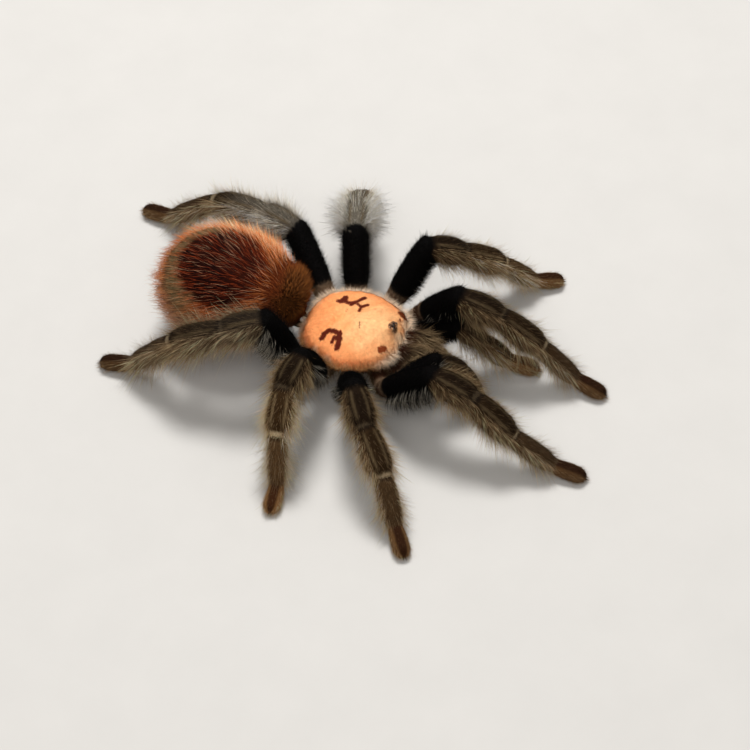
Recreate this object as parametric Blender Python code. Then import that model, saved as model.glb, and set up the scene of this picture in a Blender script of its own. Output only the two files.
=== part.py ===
"""A tarantula with a pale orange carapace, standing still, as life-size faceted solids.

Metres, +Z up. The spider faces -Y, so its left side is +X. While it is modelled the origin
is on the floor under the middle of the carapace; at the end the parent empty moves the
whole, so that the origin lies on the floor under the middle of the spider's outline. Each
solid reaches to the tips of the dense coat. A limb is one bent tube, parted at its joints.
"""

import math

import bmesh
import bpy
from mathutils import Matrix, Vector

MM = 0.001
GAP = 0.3 * MM  # clear space between neighbouring pieces
UP = Vector((0, 0, 1))

# Cephalothorax. The carapace is the size that the rest is judged by.
CARAPACE_LENGTH = 25.4 * MM
CARAPACE_WIDTH = 24.2 * MM
CARAPACE_RIM_Z = 10.9 * MM
CARAPACE_DOME = 4.7 * MM
CARAPACE_BELLY = 0.7 * MM  # how far the underside bulges below the rim
HEAD_NARROWING = 0.13  # how much narrower the head end is than the middle
HEAD_RAISE = 1.7 * MM
HEAD_CENTRE_Y = -8.0 * MM
HEAD_REACH = 4.0 * MM
FOVEA_DEPTH = 0.9 * MM
FOVEA_CENTRE_Y = 3.0 * MM
FOVEA_REACH = 1.8 * MM

STERNUM_SIZE = Vector((9.0, 13.0, 6.0)) * MM
STERNUM_CENTRE = Vector((0, -0.4, 8.0)) * MM
STERNUM_TOP_Z = 10.0 * MM

EYE_MOUND_SIZE = Vector((3.4, 2.7, 2.8)) * MM
EYE_MOUND_CENTRE = Vector((0, -9.3, 15.9)) * MM
# Eyes on the left half: place on the mound as shares of its half size, and radius.
LEFT_EYES = (
    (0.42, 0.10, 0.82, 0.36 * MM),
    (0.72, -0.62, 0.30, 0.34 * MM),
    (0.92, 0.25, 0.30, 0.30 * MM),
    (0.66, 0.62, 0.40, 0.24 * MM),
)

CHELICERA_SIZE = Vector((4.4, 13.0, 8.4)) * MM
CHELICERA_CENTRE = Vector((2.4, -15.4, 9.4)) * MM
CHELICERA_DROOP = 24.0
CHELICERA_BACK_Y = -11.6 * MM
FANG_ROOT = Vector((2.3, -20.0, 5.6)) * MM
FANG_TURN_RADIUS = 5.0 * MM
FANG_SWEEP = 75.0
FANG_RADIUS = 0.95 * MM
FANG_TIP_RADIUS = 0.3 * MM

# Abdomen, out to the tips of its long hairs.
ABDOMEN_SIZE = Vector((30.0, 36.0, 25.0)) * MM
ABDOMEN_CENTRE = Vector((0, 29.8, 15.4)) * MM
ABDOMEN_FRONT_NARROWING = 0.12
PEDICEL_RADIUS = 1.3 * MM
PEDICEL_Z = 8.3 * MM
PEDICEL_SPAN = (6.9 * MM, 15.0 * MM)
SPINNERET_ROOT = Vector((1.7, 42.0, 8.5)) * MM
SPINNERET_LENGTH = 7.5 * MM
SPINNERET_RADIUS = 0.9 * MM
SPINNERET_RISE = 12.0

# Segment lengths from the hip out, in millimetres. A palp has no metatarsus.
LEG_SEGMENTS = ("femur", "patella", "tibia", "metatarsus", "tarsus")
PALP_SEGMENTS = ("femur", "patella", "tibia", "tarsus")
LENGTHS = {
    "leg1": (16.7, 10.2, 12.3, 11.8, 8.2),
    "leg2": (15.7, 9.5, 11.3, 11.6, 8.0),
    "leg3": (14.1, 8.6, 9.8, 12.7, 7.8),
    "leg4": (16.9, 9.6, 13.5, 17.2, 8.6),
    "palp": (11.4, 7.7, 8.9, 8.3),
}
# Coated radius in millimetres at the joints, from the hip to the tip, and along each segment.
JOINT_RADII = {
    "leg": (2.5, 3.1, 3.2, 2.7, 2.2, 1.3),
    "palp": (1.9, 2.5, 2.7, 2.3, 1.3),
}
BELLY_RADII = {
    "leg": (3.0, 3.7, 3.6, 2.7, 2.3),
    "palp": (2.3, 2.9, 2.9, 2.4),
}
RING_SHARES = (0.4, 0.75)  # where along a segment its fullest rings lie
STUB = 1.5 * MM  # how far a segment's tube runs past a joint, to a point, before it is cut
TIP_SHARE = 0.9  # where the rounding of the tip begins
TUBE_DETAIL = 3  # 10 facets round a limb
FOOT_Z = 1.0 * MM  # height of a tip's centre; the pad under it is flat on the floor

# In millimetres, as on the left side: the inner end of the coxa, and the hip, where the
# femur starts. The coxa is fullest halfway between them.
COXA_RADIUS = {"leg1": 1.8, "leg2": 2.0, "leg3": 2.0, "leg4": 1.9, "palp": 1.3}
COXA_BELLY_RADIUS = {"leg1": 2.1, "leg2": 2.4, "leg3": 2.4, "leg4": 2.3, "palp": 1.6}
COXA_START = {
    "leg1": (5.2, -6.4, 7.6),
    "leg2": (6.4, -2.3, 7.6),
    "leg3": (6.4, 2.2, 7.6),
    "leg4": (5.2, 6.2, 7.6),
    "palp": (4.4, -9.8, 6.8),
}
HIPS = {
    ("right", "leg1"): (11.5, -11.4, 8.2),
    ("right", "leg2"): (13.4, -3.8, 9.4),
    ("right", "leg3"): (13.4, 3.5, 9.4),
    ("right", "leg4"): (11.2, 9.8, 9.2),
    ("right", "palp"): (7.0, -13.8, 7.9),
    ("left", "leg1"): (11.5, -11.4, 8.8),
    ("left", "leg2"): (14.6, -4.3, 8.4),
    ("left", "leg3"): (13.2, 4.4, 9.2),
    ("left", "leg4"): (10.6, 11.2, 8.9),
    ("left", "palp"): (7.0, -13.8, 7.9),
}
# The stance in degrees. turn is each segment's heading, outwards from straight ahead.
# lift is each segment's slope from the patella on; the femur's slope then follows,
# because the foot has to meet the floor.
STANCE = {
    ("right", "leg1"): {"turn": (10, 7, 7, -4, -3), "lift": (-15, -36, -35, -12)},
    ("right", "leg2"): {"turn": (64, 55, 45, 50, 54), "lift": (-18, -30, -49, -13)},
    ("right", "leg3"): {"turn": (101, 96, 80, 71, 82), "lift": (-15, -32, -68, -10)},
    ("right", "leg4"): {"turn": (144, 156, 168, 187, 176), "lift": (-17, -25, -49, -14)},
    ("right", "palp"): {"turn": (-5, -34, -4, 20), "lift": (-38, -66, -14)},
    ("left", "leg1"): {"turn": (-13, 4, 2, 4, -7), "lift": (-20, -34, -44, -14)},
    ("left", "leg2"): {"turn": (54, 34, 32, 37, 35), "lift": (-26, -31, -45, -14)},
    ("left", "leg3"): {"turn": (112, 107, 105, 106, 107), "lift": (-6, -32, -55, -12)},
    ("left", "leg4"): {"turn": (136, 164, 173, 172, 172), "lift": (-1, -9, -41, -10)},
    ("left", "palp"): {"turn": (-4, 16, 22, 14), "lift": (-39, -50, -17)},
}

COLOURS = {  # red, green, blue, roughness
    "carapace_felt": (0.66, 0.33, 0.16, 0.8),
    "femur_velvet": (0.010, 0.009, 0.008, 0.8),
    "leg_hair": (0.085, 0.070, 0.050, 0.8),
    "abdomen_hair": (0.10, 0.035, 0.020, 0.8),
    "underside_hair": (0.035, 0.026, 0.020, 0.8),
    "fang_horn": (0.015, 0.008, 0.006, 0.25),
    "eye_glass": (0.010, 0.008, 0.008, 0.15),
}


def new_collection(name, rendered=True):
    group = bpy.data.collections.new(name)
    group.hide_render = not rendered
    bpy.context.scene.collection.children.link(group)
    return group


def make_material(name, red, green, blue, roughness):
    material = bpy.data.materials.new(name)
    material.use_nodes = True
    shader = material.node_tree.nodes["Principled BSDF"]
    shader.inputs["Base Color"].default_value = (red, green, blue, 1)
    shader.inputs["Roughness"].default_value = roughness
    shader.inputs["Metallic"].default_value = 0
    return material


class Model:
    """Holds the collections, the materials and the empty that carries every piece."""

    def __init__(self):
        for obj in list(bpy.data.objects):
            bpy.data.objects.remove(obj, do_unlink=True)
        self.parts = new_collection("tarantula")
        self.cutters = new_collection("cutters", rendered=False)
        self.materials = {name: make_material(name, *values) for name, values in COLOURS.items()}
        self.root = bpy.data.objects.new("tarantula_centre", None)
        self.parts.objects.link(self.root)

    def place(self, name, bm, group):
        bmesh.ops.recalc_face_normals(bm, faces=bm.faces)
        mesh = bpy.data.meshes.new(name)
        bm.to_mesh(mesh)
        bm.free()
        mesh.shade_smooth()
        mesh.set_sharp_from_angle(angle=math.radians(50))
        obj = bpy.data.objects.new(name, mesh)
        obj.parent = self.root
        group.objects.link(obj)
        return obj

    def part(self, name, bm, material, cutters=()):
        obj = self.place(name, bm, self.parts)
        obj.data.materials.append(self.materials[material])
        for cutter in cutters:
            add_boolean(obj, cutter, "DIFFERENCE")
        return obj

    def cutter(self, name, bm):
        obj = self.place(name, bm, self.cutters)
        obj.hide_render = True
        obj.display_type = "WIRE"
        return obj


def add_boolean(obj, other, operation):
    modifier = obj.modifiers.new(other.name, "BOOLEAN")
    modifier.operation = operation
    modifier.object = other


def cut(bm, point, normal):
    """Removes what lies beyond the plane, on its normal's side, and closes the cut."""
    geometry = bm.verts[:] + bm.edges[:] + bm.faces[:]
    made = bmesh.ops.bisect_plane(
        bm, geom=geometry, dist=1e-7, plane_co=point, plane_no=normal, clear_outer=True
    )
    edges = [item for item in made["geom_cut"] if isinstance(item, bmesh.types.BMEdge)]
    if edges:
        bmesh.ops.edgeloop_fill(bm, edges=edges)


def ball(size, rings=8, sides=12):
    """An ellipsoid about the origin, its poles on Z."""
    bm = bmesh.new()
    bmesh.ops.create_uvsphere(bm, u_segments=sides, v_segments=rings, radius=0.5)
    bmesh.ops.scale(bm, vec=size, verts=bm.verts)
    return bm


def tube(points, radii):
    """A closed tube through the points, with a radius at each of them."""
    curve = bpy.data.curves.new("tube", "CURVE")
    curve.dimensions = "3D"
    curve.bevel_depth = 1.0
    curve.bevel_resolution = TUBE_DETAIL
    curve.use_fill_caps = True
    spline = curve.splines.new("POLY")
    spline.points.add(len(points) - 1)
    for point, place, radius in zip(spline.points, points, radii):
        point.co = (*place, 1)
        point.radius = radius
    obj = bpy.data.objects.new("tube", curve)
    bpy.context.scene.collection.objects.link(obj)
    depsgraph = bpy.context.evaluated_depsgraph_get()
    mesh = bpy.data.meshes.new_from_object(obj.evaluated_get(depsgraph))
    bm = bmesh.new()
    bm.from_mesh(mesh)
    bmesh.ops.remove_doubles(bm, verts=bm.verts, dist=1e-6)
    bpy.data.objects.remove(obj, do_unlink=True)
    bpy.data.curves.remove(curve)
    bpy.data.meshes.remove(mesh)
    return bm


def bump(distance, reach):
    return math.exp(-(distance / reach) ** 2)


def carapace_shape(grow=0.0):
    """A low dome, narrower and higher at the head, with the fovea's dimple behind."""
    size = Vector((CARAPACE_WIDTH + 2 * grow, CARAPACE_LENGTH + 2 * grow, 2))
    bm = ball(size, rings=14, sides=24)
    for vert in bm.verts:
        x, y, share = vert.co
        ahead = max(0.0, -2 * y / CARAPACE_LENGTH)
        vert.co.x = x * (1 - HEAD_NARROWING * ahead ** 2)
        if share < 0:
            vert.co.z = CARAPACE_RIM_Z + share * (CARAPACE_BELLY + grow)
            continue
        head = HEAD_RAISE * bump(math.hypot(x, y - HEAD_CENTRE_Y), HEAD_REACH)
        dimple = FOVEA_DEPTH * bump(math.hypot(x, y - FOVEA_CENTRE_Y), FOVEA_REACH)
        vert.co.z = CARAPACE_RIM_Z + (CARAPACE_DOME + grow) * share ** 0.8 + (head - dimple) * share
    return bm


def sternum_shape():
    bm = ball(STERNUM_SIZE)
    bmesh.ops.translate(bm, vec=STERNUM_CENTRE, verts=bm.verts)
    cut(bm, Vector((0, 0, STERNUM_TOP_Z)), UP)
    return bm


def chelicera_shape(side, grow=0.0):
    bm = ball(CHELICERA_SIZE + Vector((grow, grow, grow)) * 2, rings=8, sides=14)
    droop = Matrix.Rotation(math.radians(CHELICERA_DROOP), 3, "X")
    bmesh.ops.rotate(bm, cent=(0, 0, 0), matrix=droop, verts=bm.verts)
    bmesh.ops.translate(bm, vec=mirrored(CHELICERA_CENTRE, side), verts=bm.verts)
    cut(bm, Vector((0, CHELICERA_BACK_Y, 0)), Vector((0, 1, 0)))
    return bm


def fang_shape(side):
    """A curved, tapering fang that folds back under the chelicera."""
    points = []
    radii = []
    steps = 5
    for step in range(steps + 1):
        share = step / steps
        angle = math.radians(FANG_SWEEP * share)
        back = Vector((0, 1 - math.cos(angle), -math.sin(angle))) * FANG_TURN_RADIUS * 0.8
        points.append(mirrored(FANG_ROOT, side) + Vector((0, back.y, 0.55 * back.z)))
        radii.append(FANG_RADIUS + (FANG_TIP_RADIUS - FANG_RADIUS) * share)
    return tube(points, radii)


def abdomen_shape(grow=0.0):
    """An egg, narrower at the front."""
    bm = ball(ABDOMEN_SIZE + Vector((grow, grow, grow)) * 2, rings=14, sides=24)
    for vert in bm.verts:
        ahead = -2 * vert.co.y / ABDOMEN_SIZE.y
        narrowing = 1 - ABDOMEN_FRONT_NARROWING * ahead
        vert.co.x *= narrowing
        vert.co.z *= narrowing
    bmesh.ops.translate(bm, vec=ABDOMEN_CENTRE, verts=bm.verts)
    return bm


def mirrored(place, side):
    """A left-hand place, in millimetres or metres, taken to the side asked for."""
    x, y, z = place
    return Vector((x if side == "left" else -x, y, z))


def heading(side, turn, lift):
    turn, lift = math.radians(turn), math.radians(lift)
    level = math.cos(lift)
    return mirrored((math.sin(turn) * level, -math.cos(turn) * level, math.sin(lift)), side)


def femur_lift(hip_z, lengths, lifts):
    """The femur's slope that sets the tip's centre at FOOT_Z."""
    drop = sum(length * math.sin(math.radians(lift)) for length, lift in zip(lengths[1:], lifts))
    return math.degrees(math.asin((FOOT_Z - hip_z - drop) / lengths[0]))


def limb_joints(side, limb):
    """The inner end of the coxa, the hip, each joint after it and the tip."""
    stance = STANCE[side, limb]
    lengths = [length * MM for length in LENGTHS[limb]]
    hip = mirrored(HIPS[side, limb], side) * MM
    lifts = (femur_lift(hip.z, lengths, stance["lift"]), *stance["lift"])
    joints = [mirrored(COXA_START[limb], side) * MM, hip]
    for turn, lift, length in zip(stance["turn"], lifts, lengths):
        joints.append(joints[-1] + heading(side, turn, lift) * length)
    return joints


def limb_line(joints, limb):
    """The rings along a limb: each one's place and radius, and which ring is which joint."""
    kind = limb[:3] if limb.startswith("leg") else "palp"
    line = [(joints[0], COXA_RADIUS[limb] * MM)]
    at_joint = [0]
    for index, radius in enumerate(JOINT_RADII[kind]):
        start = joints[index]
        end = joints[index + 1]
        if index == 0:
            line.append((start.lerp(end, 0.5), COXA_BELLY_RADIUS[limb] * MM))
        else:
            belly = BELLY_RADII[kind][index - 1] * MM
            line += [(start.lerp(end, share), belly) for share in RING_SHARES]
            if index == len(JOINT_RADII[kind]) - 1:
                line.append((start.lerp(end, TIP_SHARE), (belly + radius * MM) / 2))
                radius *= 0.6
        line.append((end, radius * MM))
        at_joint.append(len(line) - 1)
    return line, at_joint


def joint_plane(joints, index):
    """The plane that halves the bend at a joint, its normal pointing outwards."""
    inner = (joints[index] - joints[index - 1]).normalized()
    outer = (joints[index + 1] - joints[index]).normalized()
    return joints[index], (inner + outer).normalized()


def stub(joint, beyond):
    """A pointed end just past a joint, towards the one beyond it, which the cut takes off."""
    return joint + (beyond - joint).normalized() * STUB, STUB / 10


def limb_segments(side, limb):
    """Each segment's solid: its own stretch of the limb's tube, cut at the joints."""
    joints = limb_joints(side, limb)
    line, at_joint = limb_line(joints, limb)
    names = PALP_SEGMENTS if limb == "palp" else LEG_SEGMENTS
    for number, name in enumerate(names):
        first, last = number + 1, number + 2
        is_femur, is_tip = number == 0, number == len(names) - 1
        start = 0 if is_femur else at_joint[first]
        stop = len(line) if is_tip else at_joint[last] + 1
        rings = line[start:stop]
        if not is_femur:
            rings.insert(0, stub(joints[first], joints[first - 1]))
        if not is_tip:
            rings.append(stub(joints[last], joints[last + 1]))
        bm = tube(*zip(*rings))
        if not is_femur:
            point, normal = joint_plane(joints, first)
            cut(bm, point + normal * GAP / 2, -normal)
        if not is_tip:
            point, normal = joint_plane(joints, last)
            cut(bm, point - normal * GAP / 2, normal)
        else:
            cut(bm, Vector((0, 0, 0)), -UP)
        yield name, bm


def node_name(side, limb, segment):
    kind, number = (limb[:3], limb[3:]) if limb.startswith("leg") else (limb, "")
    return f"{kind}_{side[0]}{number}_{segment}"


def build_body(model):
    carapace_cutter = model.cutter("carapace_room", carapace_shape(GAP))
    abdomen_cutter = model.cutter("abdomen_room", abdomen_shape(GAP))
    model.part("carapace", carapace_shape(), "carapace_felt")
    model.part("sternum", sternum_shape(), "underside_hair")
    model.part("abdomen", abdomen_shape(), "abdomen_hair", [carapace_cutter])
    build_eye_mound(model, carapace_cutter)
    build_pedicel(model, abdomen_cutter)
    for side in ("left", "right"):
        build_chelicera(model, side, carapace_cutter)
        build_spinneret(model, side, abdomen_cutter)
    return carapace_cutter


def build_eye_mound(model, carapace_cutter):
    bm = ball(EYE_MOUND_SIZE)
    bmesh.ops.translate(bm, vec=EYE_MOUND_CENTRE, verts=bm.verts)
    mound = model.part("eye_mound", bm, "eye_glass")
    half = EYE_MOUND_SIZE / 2
    for number, (across, along, height, radius) in enumerate(LEFT_EYES):
        for side in ("left", "right"):
            eye = ball(Vector((2, 2, 2)) * radius, rings=6, sides=8)
            place = Vector((across * half.x, along * half.y, height * half.z))
            bmesh.ops.translate(eye, vec=EYE_MOUND_CENTRE + mirrored(place, side), verts=eye.verts)
            add_boolean(mound, model.cutter(f"eye_{side}_{number}", eye), "UNION")
    add_boolean(mound, carapace_cutter, "DIFFERENCE")


def build_pedicel(model, abdomen_cutter):
    front, back = PEDICEL_SPAN
    bm = bmesh.new()
    bmesh.ops.create_cone(
        bm, cap_ends=True, segments=12, radius1=PEDICEL_RADIUS, radius2=PEDICEL_RADIUS, depth=back - front
    )
    bmesh.ops.rotate(bm, cent=(0, 0, 0), matrix=Matrix.Rotation(math.radians(90), 3, "X"), verts=bm.verts)
    bmesh.ops.translate(bm, vec=Vector((0, (front + back) / 2, PEDICEL_Z)), verts=bm.verts)
    model.part("pedicel", bm, "underside_hair", [abdomen_cutter])


def build_chelicera(model, side, carapace_cutter):
    room = model.cutter(f"chelicera_room_{side}", chelicera_shape(side, GAP))
    model.part(f"chelicera_{side[0]}", chelicera_shape(side), "leg_hair", [carapace_cutter])
    model.part(f"fang_{side[0]}", fang_shape(side), "fang_horn", [room])


def build_spinneret(model, side, abdomen_cutter):
    root = mirrored(SPINNERET_ROOT, side)
    rise = math.radians(SPINNERET_RISE)
    along = Vector((0, math.cos(rise), math.sin(rise))) * SPINNERET_LENGTH
    points = [root, root + along * 0.5, root + along * 0.85, root + along]
    radii = [SPINNERET_RADIUS * share for share in (1, 1, 0.8, 0.45)]
    model.part(f"spinneret_{side[0]}", tube(points, radii), "abdomen_hair", [abdomen_cutter])


def build_limbs(model, carapace_cutter):
    for side, limb in STANCE:
        for segment, bm in limb_segments(side, limb):
            is_femur = segment == "femur"
            material = "femur_velvet" if is_femur else "leg_hair"
            cutters = [carapace_cutter] if is_femur else []
            model.part(node_name(side, limb, segment), bm, material, cutters)


def centre_on_origin(model):
    """Moves the empty so that the spider's outline is centred on the origin."""
    corners = [vert.co for obj in model.parts.objects if obj.type == "MESH" for vert in obj.data.vertices]
    for axis in (0, 1):
        values = [corner[axis] for corner in corners]
        model.root.location[axis] = -(min(values) + max(values)) / 2


def main():
    model = Model()
    carapace_cutter = build_body(model)
    build_limbs(model, carapace_cutter)
    centre_on_origin(model)


main()
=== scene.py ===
"""The looks of a standing tarantula: peach velvet carapace, black femora, olive-brown haired
legs, and a dark abdomen under long red hairs.

One skin stands for all the soft-coated solids and lies inside them. The coat is made of closed
tapering hairs, rooted on the skin, that follow the way the fur lies.
"""
import math

import bmesh
import bpy
import numpy as np
from mathutils import Matrix, Vector
from mathutils.bvhtree import BVHTree


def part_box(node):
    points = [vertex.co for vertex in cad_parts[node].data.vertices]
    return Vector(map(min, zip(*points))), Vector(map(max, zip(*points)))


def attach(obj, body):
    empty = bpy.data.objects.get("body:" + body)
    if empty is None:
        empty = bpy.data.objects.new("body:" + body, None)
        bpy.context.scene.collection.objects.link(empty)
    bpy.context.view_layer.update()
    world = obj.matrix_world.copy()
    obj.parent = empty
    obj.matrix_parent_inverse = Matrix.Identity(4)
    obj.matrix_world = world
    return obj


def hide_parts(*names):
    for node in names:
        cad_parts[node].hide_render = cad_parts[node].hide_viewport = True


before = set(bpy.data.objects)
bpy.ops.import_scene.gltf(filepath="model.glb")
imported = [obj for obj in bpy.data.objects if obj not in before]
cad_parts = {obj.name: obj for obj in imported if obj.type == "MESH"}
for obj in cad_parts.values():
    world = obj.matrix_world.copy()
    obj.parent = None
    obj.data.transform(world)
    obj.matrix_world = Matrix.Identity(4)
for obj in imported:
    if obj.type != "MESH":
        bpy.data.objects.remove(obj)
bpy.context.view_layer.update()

MM = 0.001
UP = np.array([0.0, 0.0, 1.0])
REAR = np.array([0.0, 1.0, 0.0])

CAMERA_AIM_OFFSET = (-1.64 * MM, -5.64 * MM)  # from the middle of the carapace
CAMERA_PLACE = (-69.74, 48.63, 0.6015)  # azimuth and elevation in degrees, and distance
CAMERA_LENS = 124.8
LIGHTS = (  # name, size, power, and azimuth, elevation and distance
    ("key", 0.3, 7.6, 115, 68, 0.9),
    ("fill", 0.6, 3.4, -75, 50, 1.0),
)

SIDES = {"l": 1.0, "r": -1.0}
SEGMENTS = ("coxa", "femur", "patella", "tibia", "metatarsus", "tarsus")
COXA, FEMUR, PATELLA, TIBIA, METATARSUS, TARSUS = range(len(SEGMENTS))
FEMUR_LENGTH = {"1": 16.7 * MM, "2": 15.7 * MM, "3": 14.1 * MM, "4": 16.9 * MM}
PALP_FEMUR_LENGTH = 11.4 * MM
# Traits of each limb: how grey its patella is, partly grey hair and partly painted backlight on the
# far-side legs (silver), how long its hairs are (shag), the painted light that brightens
# or darkens it from the tibia on, for how the light falls on that leg (glow), how far out along
# the femur its brown base goes (brown_end), and the fringe under the femur, dark hairs that partly stand
# in for a painted shadow under it, as a length in mm and a share of pale hairs.
PLAIN_TRAITS = {"silver": 0.0, "shag": 1.0, "glow": 1.0, "brown_end": 0.07, "fringe": (1.7, 0.08)}
TRAITS = {
    "leg_l1": {"brown_end": 0.22, "fringe": (2.4, 0.05)},
    "leg_l2": {"brown_end": 0.13, "glow": 1.55},
    "leg_l3": {"silver": 1.0},
    "leg_l4": {"silver": 0.7, "shag": 1.2},
    "palp_l": {"glow": 1.9, "shag": 1.35},
    "leg_r1": {"fringe": (4.0, 0.3)},
    "leg_r2": {"glow": 1.5, "fringe": (2.4, 0.3)},
    "leg_r3": {"glow": 2.4, "shag": 1.25, "fringe": (2.8, 0.4)},
    "leg_r4": {"glow": 0.85, "shag": 1.35, "silver": 0.08, "fringe": (3.6, 0.5)},
    "palp_r": {"glow": 1.4, "shag": 1.35, "fringe": (1.4, 0.0)},
}
LIMB_FACETS = 10  # corners in each ring of a limb's solid

UNDERSIDE, ABDOMEN, CHELICERA, SPINNERET, FIRST_LIMB = range(5)  # regions of the skin
TRUNK_REGIONS = {
    "sternum": UNDERSIDE,
    "pedicel": UNDERSIDE,
    "abdomen": ABDOMEN,
    "chelicera_l": CHELICERA,
    "chelicera_r": CHELICERA,
    "spinneret_l": SPINNERET,
    "spinneret_r": SPINNERET,
}
SKIN_VOXEL = 0.51 * MM
PLATE_VOXEL = 0.24 * MM
FANG_VOXEL = 0.16 * MM
GROWTH = 0.35 * MM  # closes the gaps between the solids before they become one skin
TRUNK_COAT_DEPTH = {UNDERSIDE: 0.5 * MM, ABDOMEN: 1.3 * MM, CHELICERA: 0.5 * MM, SPINNERET: 0.3 * MM}
LIMB_COAT_DEPTH = np.array([0.35, 0.1, 0.4, 0.4, 0.35, 0.25]) * MM
JOINT_PINCH = 0.22 * MM  # how much deeper the skin lies where two segments meet
ABDOMEN_FRONT_DEPTH = 0.3 * MM
UNDER_PLATE_GAP = 0.9 * MM  # the body fills the space under the carapace up to this gap


# -- arithmetic on many points


def norm(vectors):
    return np.linalg.norm(vectors, axis=-1)


def unit(vectors):
    return vectors / np.maximum(norm(vectors)[..., None], 1e-12)


def flattened(directions, normals):
    """Directions laid along a surface, as unit vectors."""
    return unit(directions - (directions * normals).sum(-1, keepdims=True) * normals)


def blend(first, second, share):
    share = np.asarray(share)[:, None]
    return first * (1 - share) + second * share


def ramp(values, low, high):
    """0 below low, 1 above high, with a smooth step between."""
    share = np.clip((values - low) / (high - low), 0, 1)
    return share * share * (3 - 2 * share)


def fall(values, low, high):
    return 1 - ramp(values, low, high)


def bell(values, width):
    """1 at zero, fading to nothing over a few widths on both sides."""
    return np.exp(-((values / width) ** 2))


def wander(points, wavelength, seed):
    """A smooth field of directions that changes over about a wavelength."""
    rng = np.random.default_rng(seed)
    total = np.zeros((len(points), 3))
    for octave in range(4):
        wave = unit(rng.normal(size=(3, 3))) * 2 * math.pi / (wavelength / (1 + 0.6 * octave))
        phase = rng.uniform(0, 2 * math.pi, 3)
        total += np.sin(points @ wave.T + phase)
    return total / 2.5


def tone(*levels):
    """Display colours, 0 to 255, as linear light."""
    share = np.array(levels) / 255
    return np.where(share <= 0.04045, share / 12.92, ((share + 0.055) / 1.055) ** 2.4)


# -- meshes as arrays


def numbers(items, attribute, width, kind=float):
    """One attribute of a mesh's items, with a row to each."""
    values = np.empty(len(items) * width, kind)
    items.foreach_get(attribute, values)
    return values.reshape(-1, width)


def places_of(mesh):
    return numbers(mesh.vertices, "co", 3)


def normals_of(mesh):
    return numbers(mesh.vertex_normals, "vector", 3)


def move_to(mesh, points):
    mesh.vertices.foreach_set("co", points.ravel())
    mesh.update()


def mesh_from(bm, name):
    mesh = bpy.data.meshes.new(name)
    bm.to_mesh(mesh)
    bm.free()
    return mesh


def placed(name, data):
    """A new object in the scene."""
    thing = bpy.data.objects.new(name, data)
    bpy.context.scene.collection.objects.link(thing)
    return thing


# -- the limbs' axes


def welded(node):
    """A copy of a CAD node's mesh with its corners joined."""
    bm = bmesh.new()
    bm.from_mesh(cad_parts[node].data)
    bmesh.ops.remove_doubles(bm, verts=bm.verts, dist=1e-6)
    return bm


def corners(node):
    bm = welded(node)
    points = np.array([vert.co[:] for vert in bm.verts])
    bm.free()
    return points


def nearest_ring(points, others):
    """Which corners make the ring nearest to some other points."""
    gaps = norm(points[:, None] - np.reshape(others, (-1, 3))).min(1)
    ring = np.zeros(len(points), bool)
    ring[np.argsort(gaps)[:LIMB_FACETS]] = True
    return ring


def far_end(points, joint):
    """The middle of the ring farthest from a joint."""
    return points[np.argsort(norm(points - joint))[-LIMB_FACETS:]].mean(0)


def limb_axis(limb, kinds):
    """The joints from the inner end of the coxa to the tip, read from the limb's solids."""
    parts = [corners(f"{limb}_{SEGMENTS[kind]}") for kind in kinds if kind != COXA]
    joints = []
    for inner, outer in zip(parts, parts[1:]):
        near, far = nearest_ring(inner, outer), nearest_ring(outer, inner)
        joints.append((inner[near].mean(0) + outer[far].mean(0)) / 2)
    femur = parts[0][~nearest_ring(parts[0], parts[1])]
    ring = nearest_ring(femur, joints[0])
    next_ring = nearest_ring(femur[~ring], joints[0])
    axis = unit(femur[~ring][next_ring].mean(0) - femur[ring].mean(0))
    hip = joints[0] + axis * FEMUR_LENGTH.get(limb[-1], PALP_FEMUR_LENGTH)
    return np.array([far_end(femur, joints[0]), hip, *joints, far_end(parts[-1], joints[-1])])


class Limb:
    """A leg or palp: its joints, and where a point lies along and round its segments."""

    def __init__(self, region, name):
        self.region = region
        self.name = name
        traits = {**PLAIN_TRAITS, **TRAITS[name]}
        self.silver, self.shag, self.glow, self.brown_end, self.fringe = traits.values()
        self.kinds = list(range(len(SEGMENTS)))
        if name.startswith("palp"):
            self.kinds.remove(METATARSUS)
        self.joints = limb_axis(name, self.kinds)

    def locate(self, points):
        """For each point: its segment, share along it, angle from its top, and the axis there."""
        starts = self.joints[:-1]
        spans = self.joints[1:] - starts
        offsets = points[:, None] - starts
        shares = (offsets * spans).sum(2) / (spans**2).sum(1)
        clamped = np.clip(shares, 0, 1)
        nearest = norm(offsets - clamped[..., None] * spans).argmin(1)
        rows = np.arange(len(points))
        axes = unit(spans)[nearest]
        radial = offsets[rows, nearest] - shares[rows, nearest][:, None] * spans[nearest]
        across = unit(np.cross(axes, UP))
        top = np.cross(across, axes)
        angle = np.arctan2((radial * across).sum(1), (radial * top).sum(1))
        return np.array(self.kinds)[nearest], clamped[rows, nearest], angle, axes


LIMBS = [Limb(region, name) for region, name in enumerate(TRAITS, FIRST_LIMB)]
CARAPACE_LOW, CARAPACE_HIGH = np.array(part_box("carapace"))
CARAPACE_MIDDLE = (CARAPACE_LOW + CARAPACE_HIGH) / 2
ABDOMEN_LOW, ABDOMEN_HIGH = np.array(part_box("abdomen"))
ABDOMEN_MIDDLE = (ABDOMEN_LOW + ABDOMEN_HIGH) / 2
CHELICERA_HIGH = np.array(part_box("chelicera_l")[1])
SPINNERETS_MIDDLE = np.mean([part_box("spinneret_l"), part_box("spinneret_r")], axis=(0, 1))
MOUND_MIDDLE = np.mean(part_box("eye_mound"), axis=0)


def region_of(node):
    if node in TRUNK_REGIONS:
        return TRUNK_REGIONS[node]
    return next(limb.region for limb in LIMBS if node.startswith(limb.name + "_"))


# -- node helpers and materials


def feed(tree, node, values):
    """Sets a node's inputs, each to a constant or to the output of another node."""
    for label, value in values.items():
        place = node.inputs[label]
        if isinstance(value, bpy.types.NodeSocket):
            tree.links.new(value, place)
        else:
            place.default_value = value


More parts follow.
